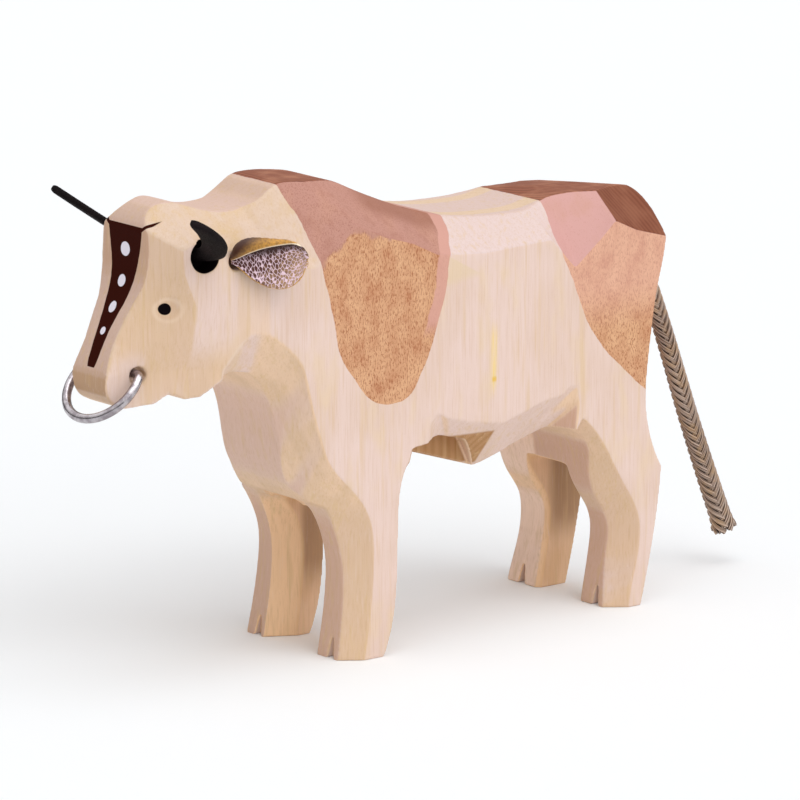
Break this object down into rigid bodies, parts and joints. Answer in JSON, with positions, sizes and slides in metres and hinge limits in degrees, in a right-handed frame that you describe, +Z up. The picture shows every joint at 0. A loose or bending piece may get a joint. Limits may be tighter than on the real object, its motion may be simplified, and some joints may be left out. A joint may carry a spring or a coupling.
{
  "type": "carved wooden cow figurine",
  "caption": "Standing cow carved from a thick board, with leather horns and ears, a swinging wire nose ring and a rope tail.",
  "frame": {"origin": "on the floor under the middle of the figure's bounding box without the rope tail", "axes": "+Z up, -Y towards the head, +Y towards the tail, +X to the animal's left"},
  "size_m": [0.0738, 0.2552, 0.1458],
  "materials": {
    "body_wood": "bare pale wood, knife-cut facets, stained patches",
    "horn_leather": "black, matt",
    "ear_leather": "brown, with a pale net pattern inside",
    "ring_steel": "bright round wire",
    "tail_rope": "braided natural rope"
  },
  "bodies": {
    "body": {"body": "body_wood", "horn_left": "horn_leather", "horn_right": "horn_leather", "ear_left": "ear_leather", "ear_right": "ear_leather", "tail_rope": "tail_rope"},
    "ring": {"nose_ring": "ring_steel"}
  },
  "joints": [
    {"name": "ring_swing", "type": "hinge", "parent": "body", "child": "ring", "pos_m": [0, -0.08764, 0.09538], "axis": [-0.9954, -0.0678, 0.0678], "range_deg": [-50, 115]}
  ]
}
